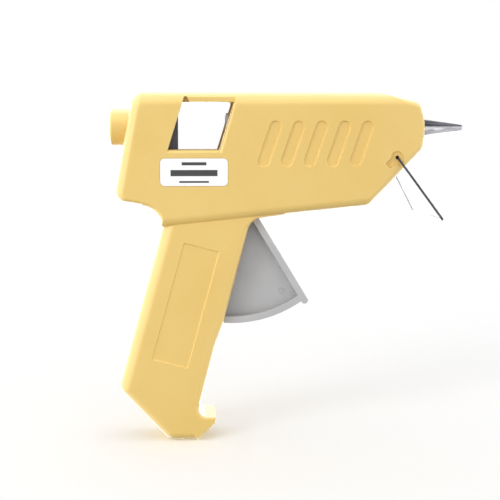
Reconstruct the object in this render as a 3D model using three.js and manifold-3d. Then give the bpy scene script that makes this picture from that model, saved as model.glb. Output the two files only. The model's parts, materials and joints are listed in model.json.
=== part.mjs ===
// Hot glue gun for 11 mm sticks. Millimetres, +Z up, +X towards the nozzle, +Y to the gun's left.
// Everything is drawn with x = 0 at the collar's rear face and z = 0 on the glue axis,
// and the whole gun is then moved so that the origin is under the middle of its box.

import * as THREE from 'three';
import { mergeVertices } from 'three/addons/utils/BufferGeometryUtils.js';
import Module from 'manifold-3d';

const wasm = await Module();
wasm.setup();

// ---- driving dimensions ----
const gunLength = 177;            // collar face to nozzle tip
const axisHeight = 155.3;         // glue axis above the handle's base
const stickRadius = 5.6;
const gap = 0.3;                  // left between pieces that touch
const seamGap = 0.1;              // each half stops this far from the parting plane

const roofZ = 17.1;
const bodyHalf = 17;              // half-widths of body, nose and handle
const noseHalf = 12.5;
const noseTaperX = 132.5;
const noseEndX = 158;
const handleHalf = 14;
const wall = 2.2;
const outerRound = 3.4;
const innerRound = 1.4;

const collarRadius = 9.2;
const collarBore = 6.1;
const collarGap = 0.15;           // between collar and housing
const collarEnd = 14.2;
const collarFlange = [12.9, 11];  // start and radius of the rim that holds it inside the wall

const railHalf = 15.2;            // thick part of the roof above the window
const railZ = 12.1;

const windowSlope = 0.309;        // forward lean of the window's sides, x per z
const windowLow = -12.85;         // edges on the side face
const windowHigh = 15.2;
const windowRear = 27.5;          // at the window's lower edge
const windowFront = 54.95;
const windowFlare = 2;            // lower and front edges slope in by this much

const slotCount = 5;
const slotPitch = 11.3;
const slotFirst = [75.1, -16.3];  // centre of the lower end of the first recess
const slotRise = [5.7, 16.4];     // from lower to upper end centre
const slotRadius = 2.85;
const slotDepth = 1.1;
const labelSeat = 0.45;
const panelDepth = 0.7;           // on the handle's side

const pivot = [60.3, -36.7];      // trigger pivot
const rimRadius = 60.9;
const rimThickness = 3.4;
const triggerTravel = 36;         // degrees
const triggerHalf = 7.5;
const triggerSlotHalf = 8.4;
const webHalf = 1.5;
const barLean = 31.2;             // front bar's angle from vertical, degrees
const barOuter = 6.86;            // bar faces, measured from the pivot
const barInner = 3.45;
const barTip = 63;
const armReach = 19;              // pivot to drive pin
const armHalf = 1.6;

const carriageRear = 22;
const carriageFront = 33.5;
const carriageHalf = 9;
const carriageLow = -10.1;
const carriageHigh = 11.8;
const forkOuter = 4.6;
const forkInner = 2;
const forkLow = -23;
const forkHigh = -13.6;

const standPivot = [141.3, -14.8];
const standEnd = [159.9, -44.3];  // middle of the cross bar
const standPivotHalf = 15.3;
const standEndHalf = 33.4;
const standWire = 0.6;

const inletPoint = [16, -142.4];  // middle of the cord inlet on the handle's lower rear face
const inletAngle = 47;            // slope of that face below horizontal, degrees
const inletBore = 5;
const inletRim = 6.3;
const inletProud = 0.9;

const heaterX = [100, 122];
const colours = {
  yellow: 0xedcf80, grey: 0xb2b2b2, darkGrey: 0x4c4c4e, silicone: 0xc9c7c2, aluminium: 0xb9babc,
  steel: 0x9a9b9d, white: 0xf6f6f4, ceramic: 0x6b6560, brass: 0xc2a356, amber: 0xb9772b,
  leadSleeve: 0xe6e2d8, spring: 0x8d8f92,
};

// ---- joining and cutting ----
function solid(geometry) {
  const bare = geometry.clone();
  bare.deleteAttribute('normal');
  bare.deleteAttribute('uv');
  const merged = mergeVertices(bare, 1e-4);
  const points = merged.getAttribute('position').array;
  const corners = Array.from(merged.getIndex().array);
  const faces = [];
  for (let i = 0; i < corners.length; i += 3) {
    const [a, b, c] = corners.slice(i, i + 3);
    if (a !== b && b !== c && c !== a) faces.push([a, b, c]);
  }
  const at = (i) => new THREE.Vector3().fromArray(points, 3 * i);
  const volume = faces.reduce((sum, [a, b, c]) => sum + at(a).dot(at(b).cross(at(c))), 0);
  // a profile drawn the other way round gives faces that point in
  const outward = volume < 0 ? faces.map(([a, b, c]) => [a, c, b]) : faces;
  return new wasm.Manifold(new wasm.Mesh({
    numProp: 3,
    vertProperties: new Float32Array(points),
    triVerts: new Uint32Array(outward.flat()),
  }));
}

const joined = (first, ...rest) => rest.reduce((sum, next) => sum.add(next), first);
const cut = (first, ...rest) => rest.reduce((left, next) => left.subtract(next), first);

function geometryOf(manifold) {
  const mesh = manifold.getMesh();
  const geometry = new THREE.BufferGeometry();
  const positions = new THREE.BufferAttribute(new Float32Array(mesh.vertProperties), 3);
  geometry.setAttribute('position', positions);
  geometry.setIndex(new THREE.BufferAttribute(new Uint32Array(mesh.triVerts), 1));
  geometry.computeVertexNormals();
  return geometry;
}

// ---- shapes ----
const radians = THREE.MathUtils.degToRad;

// A closed outline in the side view from its corners [x, z, radius], each rounded by an arc.
function outline(corners) {
  const shape = new THREE.Shape();
  const count = corners.length;
  corners.forEach(([x, z, radius = 0], i) => {
    const here = new THREE.Vector2(x, z);
    const before = new THREE.Vector2(...corners[(i + count - 1) % count].slice(0, 2)).sub(here);
    const after = new THREE.Vector2(...corners[(i + 1) % count].slice(0, 2)).sub(here);
    const half = before.clone().normalize().angleTo(after.clone().normalize()) / 2;
    const reach = radius / Math.tan(half);
    const start = here.clone().addScaledVector(before.normalize(), reach);
    const end = here.clone().addScaledVector(after.normalize(), reach);
    if (radius > 0) {
      const inward = before.clone().add(after).normalize();
      const centre = here.clone().addScaledVector(inward, radius / Math.sin(half));
      const from = start.clone().sub(centre).angle();
      const to = end.clone().sub(centre).angle();
      shape.absarc(centre.x, centre.y, radius, from, to, before.cross(after) > 0);
    } else if (i === 0) {
      shape.moveTo(x, z);
    } else {
      shape.lineTo(x, z);
    }
  });
  shape.closePath();
  return shape;
}

// The side-view shape as a solid from y = low to y = high, with rounded long edges if asked.
function slab(shape, low, high, { round = 0, inset = 0, segments = 2, curve = 3 } = {}) {
  const geometry = new THREE.ExtrudeGeometry(shape, {
    depth: high - low - 2 * round,
    curveSegments: curve,
    bevelEnabled: round > 0 || inset > 0,
    bevelThickness: round,
    bevelSize: round,
    bevelOffset: -round - inset,
    bevelSegments: round > 0 ? segments : 1,
  });
  geometry.rotateX(Math.PI / 2);
  geometry.translate(0, high - round, 0);
  return solid(geometry);
}

function box([x0, x1], [y0, y1], [z0, z1]) {
  const geometry = new THREE.BoxGeometry(x1 - x0, y1 - y0, z1 - z0);
  geometry.translate((x0 + x1) / 2, (y0 + y1) / 2, (z0 + z1) / 2);
  return solid(geometry);
}

// A round pin across the gun, along Y.
function crossPin([x, z], radius, low, high, sides = 16) {
  const geometry = new THREE.CylinderGeometry(radius, radius, high - low, sides);
  geometry.translate(x, (low + high) / 2, z);
  return solid(geometry);
}

// A turned piece about the glue axis from its profile [x, radius], closed on the axis or on itself.
function turned(profile, sides = 28) {
  const points = profile.map(([x, radius]) => new THREE.Vector2(radius, x));
  const geometry = new THREE.LatheGeometry(points, sides);
  geometry.rotateZ(-Math.PI / 2);
  return solid(geometry);
}

function tube(bore, outer, x0, x1, sides = 28) {
  return turned([[x0, bore], [x1, bore], [x1, outer], [x0, outer], [x0, bore]], sides);
}

const rod = (radius, x0, x1, sides = 28) => turned([[x0, 0], [x0, radius], [x1, radius], [x1, 0]], sides);

// A round wire along a path of straight runs joined by bends of the given reach.
function wire(points, radius, bend, steps, sides = 6) {
  const stops = points.map((point) => new THREE.Vector3(...point));
  const path = new THREE.CurvePath();
  let last = stops[0];
  for (let i = 1; i < stops.length - 1; i += 1) {
    const toLast = stops[i - 1].clone().sub(stops[i]).normalize();
    const toNext = stops[i + 1].clone().sub(stops[i]).normalize();
    const start = stops[i].clone().addScaledVector(toLast, bend);
    const end = stops[i].clone().addScaledVector(toNext, bend);
    path.add(new THREE.LineCurve3(last, start));
    path.add(new THREE.QuadraticBezierCurve3(start, stops[i], end));
    last = end;
  }
  path.add(new THREE.LineCurve3(last, stops[stops.length - 1]));
  return solid(sweep(path, radius, steps, sides));
}

function sweep(path, radius, steps, sides) {
  const ring = [];
  for (let i = 0; i < sides; i += 1) {
    const angle = (2 * Math.PI * i) / sides;
    ring.push(new THREE.Vector2(radius * Math.cos(angle), radius * Math.sin(angle)));
  }
  return new THREE.ExtrudeGeometry(new THREE.Shape(ring), { steps, extrudePath: path });
}

const away = ([x, z], degrees, reach) => [
  x + reach * Math.sin(radians(degrees)), z - reach * Math.cos(radians(degrees)),
];

// ---- housing ----
const rearSlope = 0.189;
const rearX = (z) => 10.2 + (z - 10.1) * rearSlope;
const bellyZ = (x) => -38.6 - (125.6 - x) * 0.1;

const bodyOutline = outline([
  [rearX(roofZ), roofZ, 7],
  [131, roofZ, 8],
  [152.6, 12.4, 4],
  [156.2, 0.9, 32],
  [154, -11, 5],
  [126.7, bellyZ(126.7), 5],
  [25.3, bellyZ(25.3)],
  [15.9, -37.4],
  [rearX(-34.9), -34.9, 4.6],
]);
const heelArc = [14.7, -48.5];    // hollow curve between the body's rear and the handle's back
const heelRadius = 10.6;

const handleOutline = outline([
  [25.3, -48.7],
  [3.1, -128.7, 5.4],
  [28.2, -axisHeight, 7.5],
  [42.4, -axisHeight],
  [41.8, -143.6],
  [51.1, -108],
  [55.6, -96],
  [69.1, -44.9, 9],
  [86, -42.6],
  [80, -32],
  [30, -32],
]);

const toeOutline = outline([
  [34, -147.5],
  [42.4, -axisHeight],
  [51.2, -147, 2],
  [51.6, -144.2],
  [41.95, -144.4, 4.4],
  [43.8, -137.2],
  [38, -138.2],
]);

// seen from above: parallel sides that draw in towards the nose
function planOutline(inset) {
  const side = bodyHalf - inset;
  const tip = noseHalf - inset;
  const shape = new THREE.Shape();
  shape.moveTo(-5, -side);
  shape.lineTo(noseTaperX, -side);
  shape.lineTo(noseEndX, -tip);
  shape.lineTo(noseEndX, tip);
  shape.lineTo(noseTaperX, side);
  shape.lineTo(-5, side);
  shape.closePath();
  const geometry = new THREE.ExtrudeGeometry(shape, { depth: 90, bevelEnabled: false });
  geometry.translate(0, 0, -60);
  return solid(geometry);
}

// the window's outline with its lower and front edges moved in by the given amount
function windowShape(inset) {
  const low = windowLow + inset;
  const x = (edge, z) => edge + windowSlope * (z - windowLow);
  return outline([
    [x(windowRear, low), low, 0.8],
    [x(windowFront, low) - inset, low, 0.8],
    [x(windowFront, windowHigh) - inset, windowHigh, 0.8],
    [x(windowRear, windowHigh), windowHigh, 0.8],
  ]);
}

function rail() {
  return slab(outline([[36.2, 18], [38.8, railZ], [66, railZ], [66, 18]]), -railHalf, railHalf);
}

function windowCut(side) {
  const through = slab(windowShape(windowFlare), ...ends(side, bodyHalf - 5, bodyHalf + 1));
  const mouth = slab(windowShape(0), ...ends(side, bodyHalf, bodyHalf + 1));
  const throat = slab(windowShape(windowFlare), ...ends(side, bodyHalf - windowFlare, bodyHalf - 1.9));
  return cut(joined(through, wasm.Manifold.hull([mouth, throat])), rail());
}

// from inner to outer half-width on one side of the parting plane
function ends(side, inner, outer) {
  return side < 0 ? [-outer, -inner] : [inner, outer];
}

function recess(index) {
  const [x, z] = [slotFirst[0] + index * slotPitch, slotFirst[1]];
  const along = Math.atan2(slotRise[1], slotRise[0]);
  const shape = new THREE.Shape();
  shape.absarc(x, z, slotRadius, along - 1.5 * Math.PI, along - 0.5 * Math.PI);
  shape.absarc(x + slotRise[0], z + slotRise[1], slotRadius, along - 0.5 * Math.PI, along + 0.5 * Math.PI);
  shape.closePath();
  return shape;
}

const handlePanel = outline([[36.1, -56.7, 0.4], [53.2, -61.2, 0.4], [37.4, -119, 0.4], [19.9, -114.2, 0.4]]);
const labelShape = outline([[24.4, -14.9, 2.4], [57.7, -14.9, 2.4], [57.7, -28.7, 2.4], [24.4, -28.7, 2.4]]);

// where the trigger swings through the front of the handle and the belly
function triggerRoom() {
  const lean = radians(barLean);
  const normal = [Math.cos(lean), Math.sin(lean)];
  const along = [Math.sin(lean), -Math.cos(lean)];
  const reach = barOuter + 0.7;
  const place = (s) => [pivot[0] + normal[0] * reach + along[0] * s, pivot[1] + normal[1] * reach + along[1] * s];
  const shape = new THREE.Shape();
  shape.moveTo(...pivot);
  shape.lineTo(...place(-2));
  shape.lineTo(...place(barTip));
  for (let angle = 38; angle > -44; angle -= 4) {
    shape.lineTo(...away(pivot, angle, rimRadius + 0.9));
  }
  shape.closePath();
  return slab(shape, -triggerSlotHalf, triggerSlotHalf);
}

const housingScrews = [[13, -28], [72, 12], [92, -36.4], [127.5, 11.6], [124, -32.6], [29, -97], [38.5, -148.4]];
const screwSeat = 7.6;
const screwEnd = -8.4;

// the cord clamp lies across the cord's way in, behind the inlet
const inward = [Math.sin(radians(inletAngle)), Math.cos(radians(inletAngle))];
const across = [-inward[1], inward[0]];
const clampMiddle = [inletPoint[0] + 13 * inward[0], inletPoint[1] + 13 * inward[1]];
const clampScrews = [-7, 7].map((s) => [clampMiddle[0] + s * across[0], clampMiddle[1] + s * across[1]]);
const clampUnder = 2.8;
const clampTop = 5.2;

function inletCylinder(radius, outer, inner) {
  const geometry = new THREE.CylinderGeometry(radius, radius, outer + inner, 24);
  geometry.translate(0, (inner - outer) / 2, 0);
  geometry.rotateX(Math.PI / 2);
  geometry.rotateY(Math.PI / 2 - radians(90 - inletAngle));
  geometry.translate(inletPoint[0], 0, inletPoint[1]);
  return solid(geometry);
}

function standPocket(side) {
  const [x, z] = standPivot;
  const arm = (dx, dz) => {
    const length = Math.hypot(dx, dz);
    const [nx, nz] = [-dz / length, dx / length];
    const width = 1.5;
    return outline([
      [x + nx * width, z + nz * width], [x + nx * width + dx, z + nz * width + dz],
      [x - nx * width + dx, z - nz * width + dz], [x - nx * width, z - nz * width],
    ]);
  };
  const [low, high] = ends(side, standPivotHalf - 0.8, bodyHalf);
  return joined(
    crossPin(standPivot, 3, low, high, 16),
    slab(arm(-4.6, -4), low, high),
    slab(arm(3.4, -5), low, high),
  );
}

function housingShell() {
  const body = slab(bodyOutline, -bodyHalf, bodyHalf, { round: outerRound }).intersect(planOutline(0));
  const grip = slab(handleOutline, -handleHalf, handleHalf, { round: outerRound });
  const toe = slab(toeOutline, -handleHalf, handleHalf, { round: 1, segments: 2 });
  const heel = crossPin(heelArc, heelRadius, -20, 20, 40);
  const outer = joined(cut(body, heel), grip, toe, inletCylinder(inletRim, inletProud, 3));

  const hollow = { round: innerRound, inset: wall, segments: 1 };
  const roundHeel = crossPin(heelArc, heelRadius + wall, -20, 20, 40);
  const bodyRoom = cut(slab(bodyOutline, wall - bodyHalf, bodyHalf - wall, hollow), roundHeel)
    .intersect(planOutline(wall));
  const gripRoom = slab(handleOutline, wall - handleHalf, handleHalf - wall, hollow);
  const shell = cut(outer, bodyRoom, gripRoom);
  return { outer, shell };
}

function bosses() {
  const posts = housingScrews.map((place) => crossPin(place, 3.1, -bodyHalf, bodyHalf, 12));
  const pivotBosses = [
    crossPin(pivot, 4.4, -bodyHalf, -triggerHalf - 0.6),
    crossPin(pivot, 4.4, triggerHalf + 0.6, bodyHalf),
  ];
  const standBosses = [
    crossPin(standPivot, 3.4, -bodyHalf, -10.4, 12),
    crossPin(standPivot, 3.4, 10.4, bodyHalf, 12),
  ];
  // behind the stand's pockets, where the side has drawn in
  const standBacks = [-1, 1].map((side) => box([132, 147], ends(side, 12.4, bodyHalf), [-23, -8.5]));
  const clampPosts = clampScrews.map((place) => crossPin(place, 2.5, -handleHalf, clampUnder - gap, 10));
  const springPeg = crossPin([9.4, -17], 1.3, -bodyHalf, 2.6, 10);
  return { posts, pivotBosses, standBosses, standBacks, clampPosts, springPeg };
}

// cross ribs that hold the sleeve and the melt chamber
function saddle(x, bore) {
  const plate = box([x, x + 2], [-bodyHalf, bodyHalf], [-13, roofZ]);
  return cut(plate, rod(bore, x - 1, x + 3));
}

function holes() {
  const list = [];
  for (const place of housingScrews) {
    list.push(crossPin(place, 1.7, screwEnd - 1, bodyHalf, 10));
    list.push(crossPin(place, 2.4, screwSeat, bodyHalf + 1, 12));
  }
  list.push(crossPin(pivot, 2.3, 0.4 - bodyHalf + wall, bodyHalf - wall - 0.4));
  list.push(crossPin(standPivot, standWire + 0.35, 0.5 - standPivotHalf - 3, -11, 10));
  list.push(crossPin(standPivot, standWire + 0.35, 11, standPivotHalf + 2.5, 10));
  return list;
}

function housing() {
  const { outer, shell } = housingShell();
  const inner = bosses();
  const fittings = joined(
    rail(), saddle(66, 8.5), saddle(85.2, 7.8), saddle(134, 7.8),
    ...inner.posts, ...inner.pivotBosses, ...inner.standBosses, ...inner.standBacks,
  ).intersect(outer);

  const cuts = [
    rod(collarRadius + collarGap, 0, 18),
    rod(4.9, 150, 162),
    windowCut(-1), windowCut(1),
    inletCylinder(inletBore, 3, 8),
    triggerRoom(),
    standPocket(-1), standPocket(1),
    slab(labelShape, -bodyHalf - 1, labelSeat - bodyHalf, { curve: 2 }),
    ...holes(),
  ];
  for (const side of [-1, 1]) {
    const face = (half, depth) => ends(side, half - depth, half + 1);
    for (let i = 0; i < slotCount; i += 1) {
      cuts.push(slab(recess(i), ...face(bodyHalf, slotDepth), { curve: 4 }));
    }
    cuts.push(slab(handlePanel, ...face(handleHalf, panelDepth), { curve: 1 }));
  }
  const whole = cut(joined(shell, fittings), ...cuts);
  const rightPosts = joined(...inner.clampPosts, inner.springPeg).intersect(outer);
  const rightSide = box([-10, 180], [-40, -seamGap], [-170, 30]);
  const leftSide = box([-10, 180], [seamGap, 40], [-170, 30]);
  const clampHoles = clampScrews.map((place) => crossPin(place, 1.4, -9, clampUnder, 8));
  return {
    right: cut(joined(whole.intersect(rightSide), rightPosts), ...clampHoles),
    left: whole.intersect(leftSide),
  };
}

// the bush that takes the stick, held between the halves
const stickCollar = () => turned([
  [0, collarBore], [0, collarRadius - 0.9], [0.9, collarRadius], [collarFlange[0], collarRadius],
  [collarFlange[0], collarFlange[1]], [collarEnd, collarFlange[1]], [collarEnd, collarBore], [0, collarBore],
], 32);

// ---- hot end ----
const nozzle = () => cut(
  turned([[142.4, 0], [142.4, 2.7], [148.1, 2.7], [148.1, 6], [152.2, 6], [152.2, 4.6], [157.5, 4.15],
    [gunLength - 0.8, 1.5], [gunLength, 1.25], [gunLength, 0]], 24),
  turned([[140, 0], [140, 1.7], [162, 1.5], [gunLength - 4, 0.7], [180, 0.7], [180, 0]], 12),
);

function meltChamber() {
  const barrel = turned([[70.4, 0], [70.4, 6.9], [81.8, 6.9], [82, 9], [84.6, 9], [84.8, 7.5], [136, 7.5],
    [141, 5.6], [147.8, 5.6], [147.8, 0]], 28);
  const pad = box([94, 128], [-6.5, 6.5], [-11, -3]);
  const bore = turned([[69, 0], [69, stickRadius + 0.3], [112, stickRadius], [136, 3], [149, 3], [149, 0]], 24);
  return cut(joined(barrel, pad), bore);
}

const feedSleeve = () => turned([
  [57.2, 6.7], [57.8, 6.1], [70, 6.1], [70.1, 7.2], [79.2, 7.2], [79.2, 8.2],
  [62.6, 8.2], [61.8, 7.2], [57.2, 7.2], [57.2, 6.7],
], 32);

const sleeveClip = () => cut(tube(8.5, 9.5, 74, 75.6, 28), box([73, 77], [-1.2, 1.2], [6, 11]));

function heaterStack() {
  const [x0, x1] = heaterX;
  const plate = (z0, z1, grow, y) => box([x0 - grow, x1 + grow], [-y, y], [z0, z1]);
  const tab = (z0, z1, y0, y1) => box([x0 - 5, x0], [y0, y1], [z0, z1]);
  return {
    heater_insulation: cut(plate(-16.6, -11.3, 1.5, 6.2), plate(-16.2, -11.7, 3, 5.8)),
    electrode_upper: joined(plate(-12.5, -12, 0, 5.2), tab(-12.5, -12, 1.6, 4.4)),
    ptc_heater: plate(-15.1, -12.8, 0, 5),
    electrode_lower: joined(plate(-15.9, -15.4, 0, 5.2), tab(-15.9, -15.4, -4.4, -1.6)),
  };
}

function heaterClip() {
  const [low, high] = [-17.8, 8.6];
  const band = cut(
    slabAcross([[-9.2, low], [9.2, low], [9.2, high - 4], [4, high], [-4, high], [-9.2, high - 4]], 104, 118),
    slabAcross([[-8.3, low + 0.9], [8.3, low + 0.9], [8.3, high - 4.4], [3.6, high - 0.8],
      [-3.6, high - 0.8], [-8.3, high - 4.4]], 103, 119),
  );
  return cut(band, box([103, 119], [-2.5, 2.5], [7, 10]));
}

// a shape in the end view [y, z], from x0 to x1
function slabAcross(corners, x0, x1) {
  const shape = new THREE.Shape(corners.map(([y, z]) => new THREE.Vector2(y, z)));
  const geometry = new THREE.ExtrudeGeometry(shape, { depth: x1 - x0, bevelEnabled: false });
  geometry.rotateX(Math.PI / 2);
  geometry.rotateZ(Math.PI / 2);
  geometry.translate(x0, 0, 0);
  return solid(geometry);
}

// ---- feed ----
const driveStart = away(pivot, 180 + triggerTravel / 2, armReach);
const drivePinRadius = 1.8;
const jawPivot = [26.6, 9.4];

function carriage() {
  const block = box([carriageRear, carriageFront], [-carriageHalf, carriageHalf], [carriageLow, carriageHigh]);
  const cheek = box([carriageRear, carriageFront], [-carriageHalf, forkInner + 0.4], [forkLow, carriageLow + 1]);
  const foot = box([carriageRear, carriageFront], [-carriageHalf, forkOuter], [forkLow, forkHigh]);
  const fork = box([carriageFront - 1, driveStart[0] + 5.4], [-forkOuter, forkOuter], [forkLow, forkHigh]);
  const between = box([carriageFront + 3, 80], [-forkInner, forkInner], [forkLow - 1, forkHigh + 1]);
  const pinSlot = box(
    [driveStart[0] - drivePinRadius - 0.4, driveStart[0] + drivePinRadius + 0.4],
    [-10, 10], [driveStart[1] - drivePinRadius - 0.5, driveStart[1] + drivePinRadius + 1.5],
  );
  const jawRoom = box([24, 40], [-2.1, 2.1], [4, carriageHigh + 1]);
  return cut(
    joined(block, cheek, foot, fork), between, pinSlot, jawRoom,
    rod(stickRadius + 0.6, 10, 50), crossPin(jawPivot, 1.3, -20, 20, 12),
  );
}

function gripperJaw() {
  const teeth = [[24.6, 8.3], [25.4, 7.2], [27.4, 7.2], [28, 6.6], [28.5, 7.2], [29.6, 6.6], [30.1, 7.2], [31.2, 6.5]];
  const shape = new THREE.Shape([...teeth, [32.4, 7.6], [32, 10.6], [25, 11.2], [24.6, 10.6]]
    .map(([x, z]) => new THREE.Vector2(x, z)));
  return cut(slab(shape, -1.7, 1.7), crossPin(jawPivot, 1.3, -5, 5, 12));
}

// a loose-wound spring from the housing's peg to the carriage
function returnSpring() {
  const [x0, x1, radius, turns] = [11.2, 21.6, 2.6, 8];
  class Helix extends THREE.Curve {
    getPoint(t, target = new THREE.Vector3()) {
      const angle = 2 * Math.PI * turns * t;
      return target.set(x0 + (x1 - x0) * t, radius * Math.cos(angle), -17 + radius * Math.sin(angle));
    }
  }
  return solid(sweep(new Helix(), 0.4, turns * 10, 5));
}

// ---- trigger ----
function trigger() {
  const lean = radians(barLean);
  const normal = [Math.cos(lean), Math.sin(lean)];
  const along = [Math.sin(lean), -Math.cos(lean)];
  const place = (reach, s) => [
    pivot[0] + normal[0] * reach + along[0] * s, pivot[1] + normal[1] * reach + along[1] * s,
  ];
  const bar = outline([
    [...place(barInner, 0)], [...place(barOuter, 4), 2], [...place(barOuter, barTip), 1.6],
    [...place(barInner, barTip), 1.6],
  ]);
  const [rimStart, rimEnd] = [-6, 36.6];
  const arc = (radius, from, to) => {
    const points = [];
    for (let i = 0; i <= 10; i += 1) points.push(away(pivot, from + ((to - from) * i) / 10, radius));
    return points;
  };
  const toShape = (points) => new THREE.Shape(points.map(([x, z]) => new THREE.Vector2(x, z)));
  const rim = toShape([...arc(rimRadius, rimStart, rimEnd), ...arc(rimRadius - rimThickness, rimEnd, rimStart)]);
  const web = toShape([pivot, ...arc(rimRadius - 1, rimStart, rimEnd), place(barInner + 1, 40), place(barInner + 1, 4)]);
  const arm = outline([
    [...away(pivot, 90, 4), 1], [...away(driveStart, 125, 5), 2.5],
    [...away(driveStart, 210, 4.6), 2.5], [...away(pivot, 270, 4), 1],
  ]);
  const body = joined(
    crossPin(pivot, 4.6, -triggerHalf, triggerHalf, 20),
    slab(bar, -triggerHalf, triggerHalf),
    slab(rim, -triggerHalf, triggerHalf),
    slab(web, -webHalf, webHalf),
    slab(arm, -armHalf, armHalf),
  );
  return cut(body, crossPin(pivot, 2.3, -20, 20), crossPin(driveStart, drivePinRadius + gap, -20, 20));
}

// ---- stand, leads, clamp and screws ----
function wireStand() {
  const [px, pz] = standPivot;
  const [ex, ez] = standEnd;
  return wire([
    [px, -11.6, pz], [px, -standPivotHalf, pz], [ex, -standEndHalf, ez],
    [ex, standEndHalf, ez], [px, standPivotHalf, pz], [px, 11.6, pz],
  ], standWire, 1.6, 66, 6);
}

function lead(side) {
  const tabZ = side > 0 ? -12.25 : -15.65;
  return wire([
    [94.4, 3 * side, tabZ], [88, 3.4 * side, -19.5], [78, 9.8 * side, -25.5], [58, 10.2 * side, -26],
    [44, 10.1 * side, -38], [40, 9.9 * side, -62], [37.4, 9.8 * side, -96], [32.6, 7.6 * side, -114.5],
  ], 0.9, 3.5, 30, 6);
}

function spliceCap(side) {
  const geometry = new THREE.CylinderGeometry(2.4, 2.4, 11, 12);
  geometry.rotateX(Math.PI / 2);
  geometry.rotateY(radians(14));
  geometry.translate(31.1, 7.6 * side, -120.4);
  return solid(geometry);
}

function clampBar() {
  const [cx, cz] = clampMiddle;
  const corner = (s, t) => [cx + s * across[0] + t * inward[0], cz + s * across[1] + t * inward[1], 1.5];
  const shape = outline([corner(-10, -2.8), corner(10, -2.8), corner(10, 2.8), corner(-10, 2.8)]);
  const saddleCut = new THREE.CylinderGeometry(3.2, 3.2, 12, 16);
  saddleCut.rotateZ(-radians(90 - inletAngle));
  saddleCut.rotateX(Math.PI / 2);
  saddleCut.translate(cx, 0.6, cz);
  const holesHere = clampScrews.map((place) => crossPin(place, 1.4, 0, 8, 8));
  return cut(slab(shape, clampUnder, clampTop, { curve: 2 }), solid(saddleCut), ...holesHere);
}

function screw(place, headRadius, seat, end, shank) {
  return joined(
    crossPin(place, headRadius, seat + gap, seat + gap + 1.9, 12),
    crossPin(place, shank, end, seat + gap + 0.4, 8),
  );
}

// ---- the gun ----
const gun = new THREE.Group();
gun.position.set(-gunLength / 2, 0, axisHeight);

function add(name, manifold, colour, roughness = 0.5, metalness = 0) {
  const material = new THREE.MeshStandardMaterial({ color: colours[colour], roughness, metalness });
  const mesh = new THREE.Mesh(geometryOf(manifold), material);
  mesh.name = name;
  gun.add(mesh);
}

const halves = housing();
add('housing_right', halves.right, 'yellow');
add('housing_left', halves.left, 'yellow');
add('label', slab(labelShape, -bodyHalf - 0.1, -bodyHalf + 0.15, { inset: 0.2, curve: 2 }), 'white', 0.35);

add('stick_collar', stickCollar(), 'yellow');
add('nozzle', nozzle(), 'aluminium', 0.3, 1);
add('melt_chamber', meltChamber(), 'aluminium', 0.5, 1);
add('feed_sleeve', feedSleeve(), 'silicone', 0.6);
add('sleeve_clip', sleeveClip(), 'steel', 0.35, 1);
const stackLooks = {
  heater_insulation: ['amber', 0.4, 0], electrode_upper: ['brass', 0.4, 1],
  ptc_heater: ['ceramic', 0.8, 0], electrode_lower: ['brass', 0.4, 1],
};
for (const [name, manifold] of Object.entries(heaterStack())) add(name, manifold, ...stackLooks[name]);
add('heater_clip', heaterClip(), 'steel', 0.4, 1);

add('carriage', carriage(), 'darkGrey', 0.55);
add('gripper_jaw', gripperJaw(), 'steel', 0.45, 1);
add('jaw_pin', crossPin(jawPivot, 1, -8.6, 8.6, 10), 'steel', 0.3, 1);
add('return_spring', returnSpring(), 'spring', 0.35, 1);
add('trigger', trigger(), 'grey', 0.5);
add('trigger_pin', crossPin(pivot, 2, -13.8, 13.8, 14), 'steel', 0.3, 1);
add('drive_pin', crossPin(driveStart, drivePinRadius, -forkOuter, forkOuter, 14), 'steel', 0.3, 1);
add('wire_stand', wireStand(), 'steel', 0.25, 1);

['right', 'left'].forEach((name, i) => {
  add(`lead_${name}`, lead(2 * i - 1), 'leadSleeve', 0.7);
  add(`splice_cap_${name}`, spliceCap(2 * i - 1), 'white', 0.5);
});
add('cord_clamp', clampBar(), 'white', 0.5);
clampScrews.forEach((place, i) => {
  add(`clamp_screw_${i + 1}`, screw(place, 2.2, clampTop, -7.5, 1.05), 'steel', 0.35, 1);
});
housingScrews.forEach((place, i) => {
  add(`housing_screw_${i + 1}`, screw(place, 2.1, screwSeat, screwEnd, 1.35), 'steel', 0.35, 1);
});

const part = new THREE.Group();
part.add(gun);
export default part;
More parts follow.
